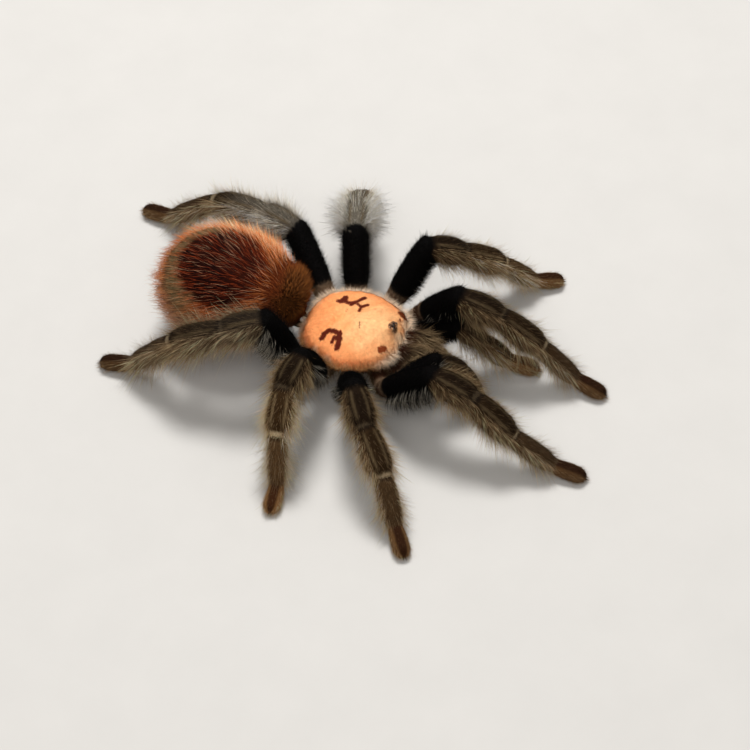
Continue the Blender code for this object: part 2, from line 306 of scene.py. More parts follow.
def maths(tree, operation, *values):
    node = tree.nodes.new("ShaderNodeMath")
    node.operation = operation
    feed(tree, node, dict(enumerate(values)))
    return node.outputs[0]


def noise(tree, scale, detail):
    node = tree.nodes.new("ShaderNodeTexNoise")
    place = tree.nodes.new("ShaderNodeTexCoord").outputs["Object"]
    feed(tree, node, {"Vector": place, "Scale": scale, "Detail": detail, "Roughness": 0.6})
    return node.outputs["Fac"]


def coat_colour(tree):
    node = tree.nodes.new("ShaderNodeAttribute")
    node.attribute_name = "coat_colour"
    return node.outputs["Color"]


def blotch_group():
    """Uneven light and dark over a colour."""
    group = bpy.data.node_groups.new("uneven_tone", "ShaderNodeTree")
    for way, label, kind in (
        ("INPUT", "Colour", "Color"),
        ("INPUT", "Strength", "Float"),
        ("INPUT", "Scale", "Float"),
        ("OUTPUT", "Colour", "Color"),
        ("OUTPUT", "Value", "Float"),
    ):
        group.interface.new_socket(label, in_out=way, socket_type="NodeSocket" + kind)
    start = group.nodes.new("NodeGroupInput")
    end = group.nodes.new("NodeGroupOutput")
    value = noise(group, start.outputs["Scale"], 4.0)
    swing = maths(group, "MULTIPLY", maths(group, "SUBTRACT", value, 0.5), start.outputs["Strength"])
    factor = maths(group, "MULTIPLY_ADD", swing, 2.0, 1.0)
    grey = group.nodes.new("ShaderNodeCombineColor")
    feed(group, grey, {"Red": factor, "Green": factor, "Blue": factor})
    product = group.nodes.new("ShaderNodeMix")
    product.data_type = "RGBA"
    product.blend_type = "MULTIPLY"
    feed(group, product, {"Factor": 1.0, 6: start.outputs["Colour"], 7: grey.outputs["Color"]})
    feed(group, end, {"Colour": product.outputs[2], "Value": value})
    return group


UNEVEN_TONE = blotch_group()


def uneven(tree, shader, colour, strength, scale):
    """Gives a shader a colour with uneven light and dark, and returns the blotches' value."""
    node = tree.nodes.new("ShaderNodeGroup")
    node.node_tree = UNEVEN_TONE
    feed(tree, node, {"Colour": colour, "Strength": strength, "Scale": scale})
    feed(tree, shader, {"Base Color": node.outputs["Colour"]})
    return node.outputs["Value"]


def uneven_gloss(tree, shader, value, low, high):
    """Lets the roughness follow the blotches."""
    node = tree.nodes.new("ShaderNodeMapRange")
    feed(tree, node, {"Value": value, "From Min": 0.3, "From Max": 0.7, "To Min": low, "To Max": high})
    feed(tree, shader, {"Roughness": node.outputs["Result"]})


def new_material(name, roughness, specular):
    material = bpy.data.materials.new(name)
    material.use_nodes = True
    tree = material.node_tree
    shader = tree.nodes["Principled BSDF"]
    feed(tree, shader, {"Roughness": roughness, "Specular IOR Level": specular})
    return material, tree, shader


def hair_material(name, roughness, specular, swing=0.3):
    """Hair that is coloured from root to tip by its coat."""
    material, tree, shader = new_material(name, roughness, specular)
    value = uneven(tree, shader, coat_colour(tree), swing, 900.0)
    uneven_gloss(tree, shader, value, roughness - 0.08, roughness + 0.08)
    return material


def napped_material(name, roughness, grain, strength):
    """Skin under a very short nap, coloured by its markings."""
    material, tree, shader = new_material(name, roughness, 0.08)
    uneven(tree, shader, coat_colour(tree), 0.4, grain / 4)
    bump = tree.nodes.new("ShaderNodeBump")
    feed(tree, bump, {"Height": noise(tree, grain, 2.0), "Strength": strength, "Distance": 0.15 * MM})
    feed(tree, shader, {"Normal": bump.outputs["Normal"]})
    return material


def glossy_material(name, colour, roughness, coat):
    material, tree, shader = new_material(name, roughness, 0.5)
    value = uneven(tree, shader, (*colour, 1), 0.5, 1200.0)
    uneven_gloss(tree, shader, value, roughness * 0.7, roughness * 1.3)
    feed(tree, shader, {"Coat Weight": coat, "Coat Roughness": 0.05})
    return material


# -- pieces


def new_piece(name, mesh, material):
    mesh.materials.clear()
    mesh.materials.append(material)
    piece = placed(name, mesh)
    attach(piece, "root")
    return piece


def paint(mesh, colours):
    """Stores one colour for each corner of the mesh, as the markings give it."""
    layer = mesh.attributes.new("coat_colour", "FLOAT_COLOR", "POINT")
    values = np.ones((len(colours), 4), np.float32)
    values[:, :3] = colours
    layer.data.foreach_set("color", values.ravel())


def pour(bm, whole):
    """Moves one bmesh into another."""
    mesh = mesh_from(bm, "poured")
    whole.from_mesh(mesh)
    bpy.data.meshes.remove(mesh)


def joined(nodes, growth):
    """The nodes' solids in one mesh, each grown a little so that they run into each other."""
    whole = bmesh.new()
    for node in nodes:
        bm = welded(node)
        bm.normal_update()
        for vert in bm.verts:
            vert.co += vert.normal * growth
        pour(bm, whole)
    return whole


def one_surface(bm, name, voxel, rounds):
    """Remeshes overlapping solids into one evenly meshed surface and softens it."""
    mesh = mesh_from(bm, name)
    source = placed(name + "_source", mesh)
    remesh = source.modifiers.new("one surface", "REMESH")
    remesh.mode = "VOXEL"
    remesh.voxel_size = voxel
    graph = bpy.context.evaluated_depsgraph_get()
    result = bpy.data.meshes.new_from_object(source.evaluated_get(graph))
    bpy.data.objects.remove(source)
    bpy.data.meshes.remove(mesh)
    smooth = bmesh.new()
    smooth.from_mesh(result)
    axes = {"use_axis_x": True, "use_axis_y": True, "use_axis_z": True}
    for _ in range(rounds):
        bmesh.ops.smooth_vert(smooth, verts=smooth.verts, factor=0.5, **axes)
    smooth.to_mesh(result)
    smooth.free()
    result.shade_smooth()
    result.name = name
    return result


def neighbours_mean(mesh, values, rounds):
    """Values on the mesh's corners, averaged along its edges."""
    first, second = numbers(mesh.edges, "vertices", 2, np.int32).T
    count = np.bincount(first, minlength=len(values)) + np.bincount(second, minlength=len(values))
    for _ in range(rounds):
        total = np.bincount(first, values[second], len(values))
        total += np.bincount(second, values[first], len(values))
        values = (values + total / np.maximum(count, 1)) / 2
    return values


# -- markings


ROOT, TOP, SIDE, LONG = range(4)
LIMB_TONES = tone(  # the short fur's root, its tip on top and on the sides, and the long hairs
    [(24, 12, 6), (88, 52, 32), (96, 66, 42), (156, 132, 98)],  # coxa
    [(2, 1, 1), (5, 3, 2), (6, 4, 2), (8, 5, 3)],  # femur
    [(20, 12, 5), (46, 30, 14), (98, 73, 46), (208, 172, 128)],  # patella
    [(20, 12, 5), (60, 41, 19), (104, 77, 48), (234, 194, 146)],  # tibia
    [(26, 16, 8), (98, 73, 46), (124, 94, 62), (244, 206, 160)],  # metatarsus
    [(28, 14, 5), (58, 30, 9), (138, 100, 62), (184, 148, 108)],  # tarsus
)
PALE_RING = tone(196, 172, 136)
CREASE = tone(20, 12, 6)
HIP_CREAM = tone(186, 152, 120)
HIP_BROWN = tone(84, 54, 36)
STRIPE_TONE = tone(140, 118, 86)
# Grey of the patella hair, also used brightened as painted backlight on the far-side legs.
SILVER_AND_BACKLIGHT = tone(190, 178, 158)


def silvered(limb, kinds, along):
    """How grey the fur is, partly grey hair and partly painted backlight on the far-side legs: most on
    the patella, fading along the tibia.
    """
    fading = (kinds == TIBIA) * fall(along, 0.2, 0.9) * 0.8
    beyond = (kinds == TIBIA) * 0.6 + (kinds == METATARSUS) * 0.6 * fall(along, 0.0, 1.0)
    return limb.silver * ((kinds == PATELLA) + np.maximum(fading, beyond * (limb.silver == 1.0)))


# Painted light: a gain that brightens or darkens each limb from the tibia on, for how the light falls on
# that leg.
def glowing(limb, kinds):
    return np.where(kinds >= TIBIA, limb.glow, 1.0)[:, None]


def limb_markings(limb, kinds, along, angle):
    """The short fur's colours at root and tip: dark femora, dark backs, pale sides and joints, grey
    patellae that are partly painted backlight, and each limb's painted light from the tibia on.
    """
    side_on = np.abs(angle)
    edge = np.where(kinds == TARSUS, ramp(side_on, 0.4, 0.8), ramp(side_on, 0.7, 1.2))
    roots = LIMB_TONES[kinds, ROOT]
    tips = blend(LIMB_TONES[kinds, TOP], LIMB_TONES[kinds, SIDE], edge)
    ring = ramp(along, 0.96, 0.985) * np.isin(kinds, (TIBIA, METATARSUS, PATELLA))
    ring = ring * np.where(kinds == PATELLA, 0.12, 0.8)
    silver = silvered(limb, kinds, along)
    crease = fall(along, 0.03, 0.1) * (kinds >= PATELLA) * (1 - silver)
    stripe = bell(side_on - 0.5, 0.12) * np.isin(kinds, (PATELLA, TIBIA))
    stripe = stripe * ramp(along, 0.05, 0.2) * fall(along, 0.75, 0.95)
    hip = ramp(along, 0.7, 0.82) * fall(along, 0.9, 0.98) * (kinds == COXA)
    brown = (kinds == FEMUR) * fall(along, limb.brown_end - 0.05, limb.brown_end + 0.02)
    collar = (kinds == FEMUR) * bell(along - limb.brown_end, 0.035)
    for share, colour in (
        (silver, SILVER_AND_BACKLIGHT * 0.5),
        (stripe * 0.6, STRIPE_TONE),
        (crease * 0.7, CREASE),
        (ring, PALE_RING),
        (hip * 0.7, HIP_CREAM),
        (brown, HIP_BROWN),
        (collar * 0.5, HIP_CREAM),
    ):
        tips = blend(tips, colour, share)
        roots = blend(roots, colour * 0.3, share)
    return roots, tips * glowing(limb, kinds)


ABDOMEN_DARK = tone(36, 9, 3)
ABDOMEN_BROWN = tone(86, 32, 10)
ABDOMEN_FLANK = tone(118, 54, 22)
ABDOMEN_GOLD = tone(114, 66, 28)
ABDOMEN_RUST = tone(230, 130, 68)
ABDOMEN_PINK = tone(250, 190, 148)
ABDOMEN_OLIVE = tone(170, 146, 102)
ABDOMEN_SIDE = tone(240, 194, 162)
SADDLE_HAIR = tone(206, 84, 40)


def abdomen_share(points):
    """Places on the abdomen from -1 to 1 across, along and up."""
    return (points - ABDOMEN_MIDDLE) / ((ABDOMEN_HIGH - ABDOMEN_LOW) / 2)


def abdomen_zones(points):
    """How much each place belongs to the front velvet, the dark saddle, its pale rim, the low sides."""
    across, along, height = abdomen_share(points + wander(points, 6 * MM, 31) * 0.5 * MM).T
    front = fall(along, -0.82, -0.66)
    reach = np.hypot((across + 0.17) / 0.68, (along - 0.02) / 0.62) + (height < 0) * 2
    saddle = fall(reach, 0.86, 1.04) * (1 - front)
    rim = ramp(reach, 0.92, 1.04) * fall(reach, 1.12, 1.3) * ramp(along, 0.1, 0.4)
    low = fall(height, -0.3, 0.45) * (1 - front)
    return front, saddle, rim, low


def abdomen_markings(points):
    front, saddle, rim, low = abdomen_zones(points)
    across, along, _ = abdomen_share(points).T
    forward = fall(along - 0.3 * across, -0.5, 0.15)
    patchy = ramp(wander(points, 7 * MM, 33)[:, 0], -0.8, 0.9)
    back = blend(ABDOMEN_DARK, ABDOMEN_BROWN, forward * 0.7 + patchy * 0.3)
    tips = blend(ABDOMEN_FLANK, back, saddle)
    tips = blend(tips, ABDOMEN_SIDE * 0.5, low * 0.75)
    tips = blend(tips, ABDOMEN_OLIVE, rim)
    tips = blend(tips, ABDOMEN_GOLD, front)
    roots = blend(tips * 0.4, ABDOMEN_DARK * 0.7, 0.3 + 0.4 * saddle)
    return roots, tips


UNDERSIDE_TONE = (tone(20, 12, 7), tone(46, 32, 20))
CHELICERA_TONE = (tone(24, 13, 7), tone(70, 52, 32))
CHELICERA_HAIR = tone(216, 182, 136)
CHELICERA_BASE = tone(84, 30, 16)


def near_plate(points):
    """How near places on the chelicerae are to the carapace."""
    return fall(CHELICERA_HIGH[1] - points[:, 1], 0.5 * MM, 4.5 * MM)


def coat_markings(region, points):
    """The short fur's colours at root and tip for points in one region of the skin."""
    if region >= FIRST_LIMB:
        limb = LIMBS[region - FIRST_LIMB]
        kinds, along, angle, _ = limb.locate(points)
        return limb_markings(limb, kinds, along, angle)
    if region == ABDOMEN:
        return abdomen_markings(points)
    pair = CHELICERA_TONE if region == CHELICERA else UNDERSIDE_TONE
    roots, tips = (np.tile(colour, (len(points), 1)) for colour in pair)
    if region == CHELICERA:
        tips = blend(tips, CHELICERA_BASE, near_plate(points) * 0.8)
    return roots, tips


CARAPACE_PEACH = tone(255, 166, 104)
CARAPACE_HIGHLIGHT_PALE = tone(255, 196, 138)
CARAPACE_CREAM = tone(255, 224, 184)
DARK_MARK = tone(92, 31, 16)
FRONT_MARK = tone(140, 66, 32)
RIM_CREAM = tone(248, 220, 190)
# The rim fringe's near-side colour: its cream painted in shade.
RIM_SHADED_GOLD = tone(206, 146, 92)
MOUND_DARK = tone(54, 28, 18)
MOUND_SPECKLE_AND_GLINT = tone(206, 170, 134)
STROKE_WIDTH = 0.72 * MM  # the unit of the strokes' half widths
MOUND_RADII = np.array([1.35, 1.1]) * MM

STROKES = (  # the dark marks seen from above: lines in mm from the middle, half widths, tones
    ([(-7.0, 5.2), (-5.6, 5.0), (-4.7, 4.4), (-4.6, 1.9), (-6.3, 1.3), (-8.5, 1.0)], 0.95, DARK_MARK),
    ([(-6.0, 2.5), (-7.5, 2.6)], 0.6, DARK_MARK),
    ([(-5.6, -8.3), (-4.8, -9.0)], 0.85, FRONT_MARK),
    ([(4.9, 5.5), (4.9, 4.4), (6.5, 4.6)], 1.0, DARK_MARK),
    ([(4.8, 4.2), (4.6, 2.5), (6.1, 1.4), (7.8, 0.5)], 0.85, DARK_MARK),
    ([(5.0, 1.1), (4.3, 0.0), (5.6, -1.2)], 0.55, DARK_MARK),
    ([(4.3, 0.0), (3.0, -0.1)], 0.55, DARK_MARK),
    ([(7.0, -8.9), (6.5, -9.5)], 1.2, FRONT_MARK),
    ([(4.0, -9.6), (4.9, -9.3)], 0.3, FRONT_MARK),
    ([(-0.4, -1.4), (-0.9, -1.6), (-2.2, -2.0)], 0.14, DARK_MARK),
    ([(2.9, 2.4), (2.0, 2.9)], 0.12, DARK_MARK),
)


def plate_share(points):
    """Places on the carapace from -1 to 1 across, along and up."""
    return (points - CARAPACE_MIDDLE) / ((CARAPACE_HIGH - CARAPACE_LOW) / 2)


def mound_reach(points):
    """How far places are from the middle of the eye mound, whose edge is at 1."""
    return norm((points - MOUND_MIDDLE)[:, :2] / MOUND_RADII)


def mark_carapace(points, colours):
    """Draws the dark marks over the velvet's colours, with ragged edges."""
    flat = (points - CARAPACE_MIDDLE)[:, :2]
    ragged = wander(points, 1.1 * MM, 5)[:, 0] * 0.13 * MM
    for line, width, colour in STROKES:
        line = np.array(line) * MM
        gap = np.inf
        for start, end in zip(line, line[1:]):
            span = end - start
            share = np.clip((flat - start) @ span / (span @ span), 0, 1)
            gap = np.minimum(gap, norm(flat - start - share[:, None] * span))
        gap = (gap + ragged * min(width, 1)) / (width * STROKE_WIDTH)
        colours = blend(colours, colour, fall(gap, 0.85, 1.2))
    return colours


def carapace_markings(points):
    """Peach velvet with a painted highlight towards the front middle, cream along its rim and head,
    painted cream low on the far side and at the head to lift the shade under the edge, dark marks, and a
    dark eye mound whose pale speckle is partly painted eye glints.
    """
    across, along, _ = plate_share(points).T
    drift = wander(points, 8 * MM, 6)[:, 0] * 0.14
    # Paler towards the front middle of the dome and deeper peach outwards: a painted highlight on the
    # dome.
    tips = blend(CARAPACE_HIGHLIGHT_PALE, CARAPACE_PEACH, ramp(np.hypot(across, along + 0.4) + drift, 0.15, 0.95))
    reach = norm(plate_share(points)[:, :2]) + drift * 0.5
    head_rim = fall(along, -0.8, -0.55) * ramp(reach, 0.8, 0.92)
    tips = blend(tips, CARAPACE_CREAM, np.maximum(ramp(reach, 0.88, 1.0) * 0.7, head_rim * 0.9))
    # Painted light: cream low on the plate's far side and at the head, lifting the shade that falls
    # under the edge.
    side = fall(points[:, 2], CARAPACE_LOW[2] + 1.2 * MM, CARAPACE_LOW[2] + 2.6 * MM)
    shade_lifting_share = np.maximum(ramp(across, -0.6, 0.1), fall(along, -0.8, -0.4))
    tips = blend(tips, RIM_CREAM, side * shade_lifting_share * 0.9)
    tips = mark_carapace(points, tips)
    dark = fall(mound_reach(points) + drift * 0.3, 0.8, 1.1)
    # Pale speckle breaking the dark mound: partly pale hairs, partly painted eye glints.
    speckle_and_glint = ramp(wander(points, 0.8 * MM, 25)[:, 0], 0.35, 0.75) * 0.85
    tips = blend(tips, MOUND_DARK, dark * (1 - speckle_and_glint))
    return tips * (0.94, 0.86, 0.8), tips


# -- hairs


def hair_shape(bends):
    """A closed three-sided hair one unit long and one wide, with rings where it can bend."""
    bm = bmesh.new()
    upright = Matrix.Translation((0, 0, 0.5))
    bmesh.ops.create_cone(bm, cap_ends=True, segments=3, radius1=0.5, radius2=0, depth=1, matrix=upright)
    bmesh.ops.remove_doubles(bm, verts=bm.verts, dist=1e-6)
    for height in bends:
        everything = bm.verts[:] + bm.edges[:] + bm.faces[:]
        bmesh.ops.bisect_plane(bm, geom=everything, plane_co=(0, 0, height), plane_no=(0, 0, 1))
        for vert in bm.verts:
            if abs(vert.co.z - height) < 1e-5:
                fuller = (1 - height**3) / (1 - height)
                vert.co.x *= fuller
                vert.co.y *= fuller
    points = np.array([vert.co[:] for vert in bm.verts])
    faces = [[vert.index for vert in face.verts] for face in bm.faces]
    bm.free()
    return points, faces


SHORT_HAIR = hair_shape(())
BENT_HAIR = hair_shape((0.45,))
UV_PATCH = 0.003  # the side of the patch of the unwrap that each hair covers


class Surface:
    """A mesh's triangles, ready to root hairs on: places, normals and regions."""

    def __init__(self, mesh, regions):
        mesh.calc_loop_triangles()
        self.triangles = numbers(mesh.loop_triangles, "vertices", 3, np.int32)
        self.points = places_of(mesh)
        self.normals = normals_of(mesh)
        self.regions = regions[self.triangles[:, 0]]
        places = self.points[self.triangles]
        first, second = places[:, 1] - places[:, 0], places[:, 2] - places[:, 0]
        self.areas = norm(np.cross(first, second)) / 2
        self.centres = places.mean(1)

    def roots(self, rng, region, per_mm2, density=None):
        """Random places in a region and the normals there, as many to the mm2 as asked."""
        chosen = np.flatnonzero(np.isin(self.regions, region))
        weights = self.areas[chosen]
        if density is not None:
            weights = weights * density(self.centres[chosen])
        count = int(weights.sum() / MM**2 * per_mm2)
        steps = (np.arange(count) + rng.random(count)) / count * weights.sum()
        picks = chosen[np.searchsorted(np.cumsum(weights), steps).clip(0, len(chosen) - 1)]
        spots = rng.random((2, count))
        spots = np.where(spots.sum(0) > 1, 1 - spots, spots)
        shares = np.stack([1 - spots[0] - spots[1], *spots], 1)[..., None]
        triangle = self.triangles[picks]
        return (self.points[triangle] * shares).sum(1), unit((self.normals[triangle] * shares).sum(1))


class Coat:
    """Many hairs joined in one piece, laid down in layers."""

    def __init__(self, name, rng, layers):
        self.name = name
        self.rng = rng
        self.layer_count = layers
        self.layers = []
        self.start = 0

    def add(self, shape, roots, rise, sweep, length, width, base, tips, unwrap):
        """Hairs that leave their roots along rise and turn towards sweep by their tips.

        The lengths, widths and colours come as pairs: the values, and the share by which they vary.
        """
        lengths, widths, base, tips = (
            varied(self.rng, values, share, len(roots)) for values, share in (length, width, base, tips)
        )
        template, faces = shape
        wide, deep, height = (template[:, [axis]] for axis in range(3))
        ahead, turned = unit(rise), unit(sweep)
        path = ahead[:, None] * height + (turned - ahead)[:, None] * height**2 / 2
        across = unit(np.cross(ahead, turned + UP * 0.01))
        thick = unit(np.cross(across, ahead))
        girth = across[:, None] * wide + thick[:, None] * deep
        points = roots[:, None] + path * lengths[:, None, None] + girth * widths[:, None, None]
        colours = base[:, None] * (1 - height) + tips[:, None] * height
        cell = unwrap * (1 - 2 * UV_PATCH, (1 - 4 * UV_PATCH) / self.layer_count)
        cell = cell + (UV_PATCH, len(self.layers) / self.layer_count + UV_PATCH)
        above_floor = points[..., 2].min(1) > 0
        points, colours, cell = points[above_floor], colours[above_floor], cell[above_floor]
        place = (template[:, ::2] - (0, 0.5)) * UV_PATCH
        count = len(points)
        offsets = self.start + np.arange(count) * len(template)
        loops = np.concatenate(faces)
        self.layers.append(
            (
                points.reshape(-1, 3),
                np.clip(colours, 0, 1).reshape(-1, 3),
                (cell[:, None] + place).reshape(-1, 2),
                (offsets[:, None] + loops).ravel(),
                np.tile([len(face) for face in faces], count),
            )
        )
        self.start += count * len(template)

    def build(self, material):
        points, colours, places, loops, sizes = (np.concatenate(arrays) for arrays in zip(*self.layers))
        starts = np.cumsum(sizes) - sizes
        mesh = bpy.data.meshes.new(self.name)
        mesh.vertices.add(len(points))
        mesh.vertices.foreach_set("co", points.astype(np.float32).ravel())
        mesh.loops.add(len(loops))
        mesh.loops.foreach_set("vertex_index", loops.astype(np.int32))
        mesh.polygons.add(len(sizes))
        mesh.polygons.foreach_set("loop_start", starts.astype(np.int32))
        mesh.update(calc_edges=True)
        mesh.shade_smooth()
        paint(mesh, colours)
        layer = mesh.uv_layers.new(name="OFBake")
        layer.data.foreach_set("uv", places[loops].astype(np.float32).ravel())
        new_piece(self.name, mesh, material)


def varied(rng, values, share, count):
    """Values for so many hairs, each up to a share more or less, or as they are for no share."""
    if not share:
        return values
    swing = 1 + share * rng.uniform(-1, 1, count)
    return values * (swing[:, None] if np.ndim(values) == 2 else swing)


def lifted(lie, normals, degrees):
    """Directions that stand out from the surface by an angle over the lie of the coat."""
    angle = np.radians(degrees)[:, None]
    return lie * np.cos(angle) + normals * np.sin(angle)


def picked(rng, roots, share):
    """Picks a share of the hairs at random: 1 for these and 0 for the rest."""
    return (rng.random(len(roots)) < share).astype(float)


# -- skin


def build_skin():
    limbs = [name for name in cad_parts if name.startswith(("leg_", "palp_"))]
    nodes = sorted(TRUNK_REGIONS) + sorted(limbs)
    bm = joined(nodes, GROWTH)
    pour(joined(("carapace",), -UNDER_PLATE_GAP), bm)
    mesh = one_surface(bm, "skin", SKIN_VOXEL, rounds=7)
    regions, depths = skin_regions(mesh, nodes)
    depths = neighbours_mean(mesh, depths, rounds=6)
    points = places_of(mesh) - normals_of(mesh) * (depths + GROWTH)[:, None]
    move_to(mesh, points)
    colours = np.zeros_like(points)
    for region in np.unique(regions):
        inside = regions == region
        roots, tips = coat_markings(region, points[inside])
        colours[inside] = roots * 0.7 + tips * 0.3
    paint(mesh, colours)
    material = napped_material("napped skin", roughness=0.8, grain=5000.0, strength=0.6)
    piece = new_piece("skin", mesh, material)
    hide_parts(*nodes)
    return Surface(mesh, regions)


def skin_regions(mesh, nodes):
    """For each corner of the skin: the region it belongs to, and how deep its coat is."""
    solid = bmesh.new()
    owners = []
    for node in nodes:
        before = len(solid.faces)
        solid.from_mesh(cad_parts[node].data)
        owners += [region_of(node)] * (len(solid.faces) - before)
    tree = BVHTree.FromBMesh(solid)
    solid.free()
    points = places_of(mesh)
    regions = np.array([owners[tree.find_nearest(Vector(point))[2]] for point in points])
    depths = np.zeros(len(points))
    for region, depth in TRUNK_COAT_DEPTH.items():
        depths[regions == region] = depth
    front = (regions == ABDOMEN) * fall(abdomen_share(points)[:, 1], -0.95, -0.5)
    depths = depths * (1 - front) + ABDOMEN_FRONT_DEPTH * front
    for limb in LIMBS:
        inside = regions == limb.region
        kinds, along, _, _ = limb.locate(points[inside])
        pinch = bell(along, 0.07) + bell(1 - along, 0.05) * (kinds != TARSUS)
        pinch = pinch * (kinds >= PATELLA)
        depths[inside] = LIMB_COAT_DEPTH[kinds] + JOINT_PINCH * pinch
    return regions, depths


# -- coats of the limbs


def limb_unwrap(kinds, along, angle):
    """A place on an unwrap of the limb: round it, and along it segment by segment."""
    return np.stack([angle / (2 * math.pi) + 0.5, (kinds + along) / len(SEGMENTS)], 1)


# For coxa, femur, patella, tibia, metatarsus, tarsus.
SHORT_LENGTH = np.array([1.3, 1.15, 1.05, 1.05, 1.0, 0.7]) * MM
SHORT_LEAN = np.array([44, 62, 46, 44, 42, 36])
LONG_LENGTH = np.array([2.2, 1.8, 2.5, 2.7, 2.5, 1.1]) * MM
LONG_LEAN = np.array([64, 74, 74, 76, 74, 54])
LONG_SHARE = np.array([0.9, 0.6, 1.0, 1.0, 1.1, 1.1])
# Near-black fringe hair: partly the real black hair under the femora, partly a painted shadow under
# them.
FRINGE_BLACK_AND_SHADOW = tone(8, 6, 4)
FRINGE_PALE = tone(196, 186, 168)


def limb_lie(rng, points, normals, axes, swing, seed):
    strays = rng.normal(0, 0.16, points.shape)
    return flattened(axes + wander(points, 5 * MM, seed) * swing + strays, normals)


def lay_short_fur(coat, surface, limb):
    rng = coat.rng
    roots, normals = surface.roots(rng, limb.region, per_mm2=14.0)
    kinds, along, angle, axes = limb.locate(roots)
    lie = limb_lie(rng, roots, normals, axes, 0.06, limb.region)
    base, tips = limb_markings(limb, kinds, along, angle)
    trimmed = 0.7 + 0.3 * ramp(along, 0.0, 0.2) - 0.4 * ramp(along, 0.9, 0.97)
    coat.add(
        SHORT_HAIR,
        roots - normals * 0.08 * MM,
        lifted(lie, normals, SHORT_LEAN[kinds] + rng.uniform(-14, 16, len(roots))),
        lie,
        (SHORT_LENGTH[kinds] * trimmed, 0.35),
        (0.13 * MM, 0.3),
        (base, 0.3),
        (tips, 0.4),
        limb_unwrap(kinds, along, angle),
    )


def lay_long_hairs(coat, surface, limb):
    def density(points):
        kinds, along, angle, _ = limb.locate(points)
        sides = 0.12 + 0.88 * ramp(np.abs(angle), 0.5, 1.0)
        swell = 0.5 + 0.5 * ramp(along, 0.05, 0.35)
        tufted = 1 + 1.4 * silvered(limb, kinds, along) ** 2
        return LONG_SHARE[kinds] * swell * tufted * np.where(kinds == FEMUR, 1, sides)

    rng = coat.rng
    roots, normals = surface.roots(rng, limb.region, per_mm2=12.5, density=density)
    kinds, along, angle, axes = limb.locate(roots)
    lie = limb_lie(rng, roots, normals, axes, 0.1, limb.region + 50)
    silver = silvered(limb, kinds, along)
    # Long hair tips: grey and brightened on the patella, partly painted backlight, and scaled by the
    # limb's painted light from the tibia on.
    tips = blend(LIMB_TONES[kinds, LONG], SILVER_AND_BACKLIGHT * 3.2, silver) * glowing(limb, kinds)
    brown = (kinds == FEMUR) * fall(along, limb.brown_end - 0.05, limb.brown_end + 0.03)
    tips = blend(tips, HIP_CREAM * 0.8, brown)
    below = ramp(np.abs(angle), 1.2, 2.0) * (kinds >= PATELLA) * (kinds < TARSUS)
    beside = ramp(np.abs(angle), 0.5, 1.0)
    stout = picked(rng, roots, 0.16 + 0.2 * silver) * (kinds >= PATELLA) * beside
    raised = picked(rng, roots, 0.28 + 0.3 * silver) * np.where(kinds == TARSUS, 0.4, 1.0)
    tips = tips * (0.5 + 0.5 * np.maximum(beside, silver))[:, None]
    outer = np.where(kinds >= PATELLA, 0.75 + 0.4 * ramp(along, 0.05, 0.65), 1.0)
    longer = 1 + 0.6 * silver**2 + 0.6 * below + 0.35 * stout
    lean = LONG_LEAN[kinds] + 26 * silver**2 + rng.uniform(-24, 24, len(roots)) * (1 + silver)
    coat.add(
        SHORT_HAIR,
        roots - normals * 0.1 * MM,
        lifted(lie, normals, lean),
        lie - UP * 0.15 + normals * 0.9 * raised[:, None],
        (LONG_LENGTH[kinds] * outer * limb.shag * longer, 0.5),
        ((0.055 + 0.055 * stout) * MM, 0.25),
        (tips * 0.25, 0.3),
        (tips * (0.7 + 1.0 * stout)[:, None], 0.4),
        limb_unwrap(kinds, along, angle),
    )


def lay_fringe(coat, surface, limb):
    def density(points):
        kinds, along, angle, _ = limb.locate(points)
        return (kinds == FEMUR) * ramp(np.abs(angle), 1.4, 2.0) * ramp(along, 0.05, 0.25)

    rng = coat.rng
    roots, normals = surface.roots(rng, limb.region, per_mm2=22.0, density=density)
    kinds, along, angle, axes = limb.locate(roots)
    length, pale_share = limb.fringe
    # The dark fringe hairs partly stand in for the shadow under the femur: painted shadow, longest on
    # the near-side legs.
    tips = blend(FRINGE_BLACK_AND_SHADOW, FRINGE_PALE, picked(rng, roots, pale_share))
    coat.add(
        BENT_HAIR,
        roots - normals * 0.1 * MM,
        normals + axes * 0.2 + wander(roots, 2 * MM, 3) * 0.15 + rng.normal(0, 0.12, roots.shape),
        normals + axes * 0.5 - UP * 0.3,
        (length * MM, 0.35),
        (0.065 * MM, 0.25),
        (tips * 0.12, 0),
        (tips, 0.25),
        limb_unwrap(kinds, along, angle),
    )


def clothe_limb(surface, limb, material):
    coat = Coat(f"coat_{limb.name}", np.random.default_rng(100 + limb.region), 3)
    for lay in (lay_short_fur, lay_long_hairs, lay_fringe):
        lay(coat, surface, limb)
    coat.build(material)


# -- coat of the abdomen


def abdomen_unwrap(points):
    across, along, height = abdomen_share(points).T
    turn = np.arctan2(across, height) / (2 * math.pi)
    return np.stack([turn + 0.5, np.clip(along / 2.4 + 0.5, 0, 1)], 1)


def abdomen_lie(points, normals, swing, seed):
    """Hairs part along the back and sweep rearwards."""
    across = abdomen_share(points)[:, 0:1]
    parting = (across + 0.2) * 0.55 * (1, 0, 0)
    return flattened(REAR + parting - UP * 0.1 + wander(points, 9 * MM, seed) * swing, normals)


